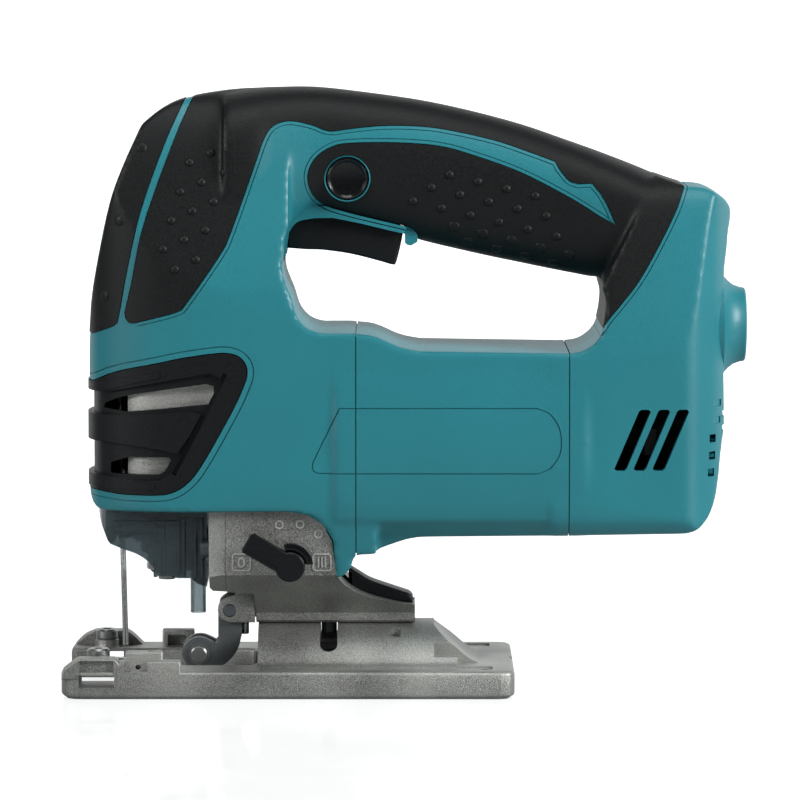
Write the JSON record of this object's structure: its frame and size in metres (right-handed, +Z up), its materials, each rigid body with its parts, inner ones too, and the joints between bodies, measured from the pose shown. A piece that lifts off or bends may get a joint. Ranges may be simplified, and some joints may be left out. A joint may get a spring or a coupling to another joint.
{
  "type": "jigsaw",
  "caption": "Corded jigsaw with a D-handle, horizontal motor barrel, die-cast gear case, orbit lever, blade guide roller and a base that tilts and slides.",
  "frame": {"origin": "middle of the tool's length and width, on the surface the sole stands on", "axes": "+Z up from the sole; the nose points along -X; the side with the orbit lever faces -Y"},
  "size_m": [0.236, 0.077, 0.2086],
  "materials": {
    "teal_abs": "satin moulded",
    "soft_grip": "matt moulded",
    "black_plastic": "satin moulded",
    "die_cast": "as cast, slightly sparkling",
    "steel": "ground",
    "dark_steel": "blackened",
    "copper": "turned copper",
    "bronze": "sintered bronze",
    "carbon": "pressed carbon",
    "laminate": "stacked steel sheet",
    "smoked_clear": "clear smoked plastic",
    "circuit": "potted board"
  },
  "bodies": {
    "housing": {"handle_shell_left": "teal_abs", "handle_shell_right": "teal_abs", "grip_overmould_left": "soft_grip", "grip_overmould_right": "soft_grip", "front_grip_pad": "soft_grip", "motor_housing": "teal_abs", "nose_guard": "black_plastic", "cord_bushing": "soft_grip", "switch_body": "black_plastic", "switch_capacitor": "black_plastic", "speed_controller": "circuit", "field_stator": "laminate", "front_bearing": "steel", "rear_bearing": "steel", "bearing_bracket": "black_plastic", "brush_holder_left": "bronze", "carbon_brush_left": "carbon", "brush_holder_right": "bronze", "carbon_brush_right": "carbon", "gear_spindle": "steel", "plunger_bush_lower": "bronze", "plunger_bush_upper": "bronze", "gear_housing": "die_cast", "gear_housing_cover": "die_cast", "arm_pivot_pin": "steel", "roller_arm_bracket": "die_cast", "orbit_push_rod": "steel", "finger_guard_wire": "steel", "blower_tube": "black_plastic", "dust_duct": "black_plastic"},
    "trigger": {"trigger": "black_plastic"},
    "lock_button": {"lock_button": "black_plastic"},
    "speed_dial": {"speed_dial": "black_plastic"},
    "armature": {"armature_shaft": "steel", "armature_core": "laminate", "commutator": "copper", "cooling_fan": "black_plastic"},
    "drive_gear": {"drive_gear": "steel", "gear_bearing": "steel", "crank_pin": "steel", "crank_roller": "steel"},
    "plunger": {"plunger": "steel", "yoke": "steel", "blade_clamp": "dark_steel", "clamp_sleeve": "steel"},
    "counterweight": {"counterweight": "dark_steel"},
    "orbit_lever": {"orbit_lever": "black_plastic", "orbit_cam_shaft": "steel"},
    "roller_arm": {"roller_arm": "dark_steel", "roller_pin": "steel"},
    "blade_roller": {"blade_roller": "steel"},
    "dust_cover": {"dust_cover": "smoked_clear"},
    "base_carriage": {"base_clamp_plate": "steel", "base_clamp_bolt": "dark_steel", "base_clamp_nut": "steel"},
    "base": {"base_shoe": "die_cast", "sole_plate": "steel", "fence_screw_left": "steel", "fence_screw_right": "steel"}
  },
  "joints": [
    {"name": "trigger_pull", "type": "hinge", "parent": "housing", "child": "trigger", "pos_m": [-0.0395, 0, 0.1615], "axis": [0, -1, 0], "range_deg": [0, 8], "stiffness_Nm_per_rad": 1.5, "springref_deg": -5.73},
    {"name": "lock_press", "type": "slide", "parent": "housing", "child": "lock_button", "axis": [0, 1, 0], "range_m": [0, 0.0025], "stiffness_N_per_m": 300, "springref_m": -0.002},
    {"name": "dial_turn", "type": "hinge", "parent": "housing", "child": "speed_dial", "pos_m": [0.107, 0, 0.154], "axis": [1, 0, 0], "range_deg": [0, 270]},
    {"name": "motor_spin", "type": "hinge", "parent": "housing", "child": "armature", "pos_m": [0.02, 0, 0.0875], "axis": [1, 0, 0], "continuous": true},
    {"name": "gear_spin", "type": "hinge", "parent": "housing", "child": "drive_gear", "pos_m": [-0.055, 0, 0.1133], "axis": [1, 0, 0], "continuous": true},
    {"name": "plunger_stroke", "type": "slide", "parent": "housing", "child": "plunger", "axis": [0, 0, 1], "range_m": [-0.013, 0.013]},
    {"name": "counterweight_slide", "type": "slide", "parent": "housing", "child": "counterweight", "axis": [0, 0, 1], "range_m": [-0.0065, 0.0065]},
    {"name": "orbit_select", "type": "hinge", "parent": "housing", "child": "orbit_lever", "pos_m": [-0.0394, -0.03, 0.0452], "axis": [0, 1, 0], "range_deg": [0, 102]},
    {"name": "roller_swing", "type": "hinge", "parent": "housing", "child": "roller_arm", "pos_m": [-0.061, 0, 0.0268], "axis": [0, 1, 0], "range_deg": [-2, 6]},
    {"name": "roller_spin", "type": "hinge", "parent": "roller_arm", "child": "blade_roller", "pos_m": [-0.0718, 0, 0.0113], "axis": [0, 1, 0], "continuous": true},
    {"name": "dust_cover_slide", "type": "slide", "parent": "housing", "child": "dust_cover", "axis": [0, 0, -1], "range_m": [0, 0.003]},
    {"name": "base_slide", "type": "slide", "parent": "housing", "child": "base_carriage", "axis": [1, 0, 0], "range_m": [0, 0.008]},
    {"name": "base_bevel", "type": "hinge", "parent": "base_carriage", "child": "base", "pos_m": [-0.02, 0, 0], "axis": [1, 0, 0], "range_deg": [-45, 45]}
  ],
  "couplings": [
    {"joint": "gear_spin", "follows": "motor_spin", "ratio": -0.19444},
    {"joint": "counterweight_slide", "follows": "plunger_stroke", "ratio": -0.5}
  ]
}
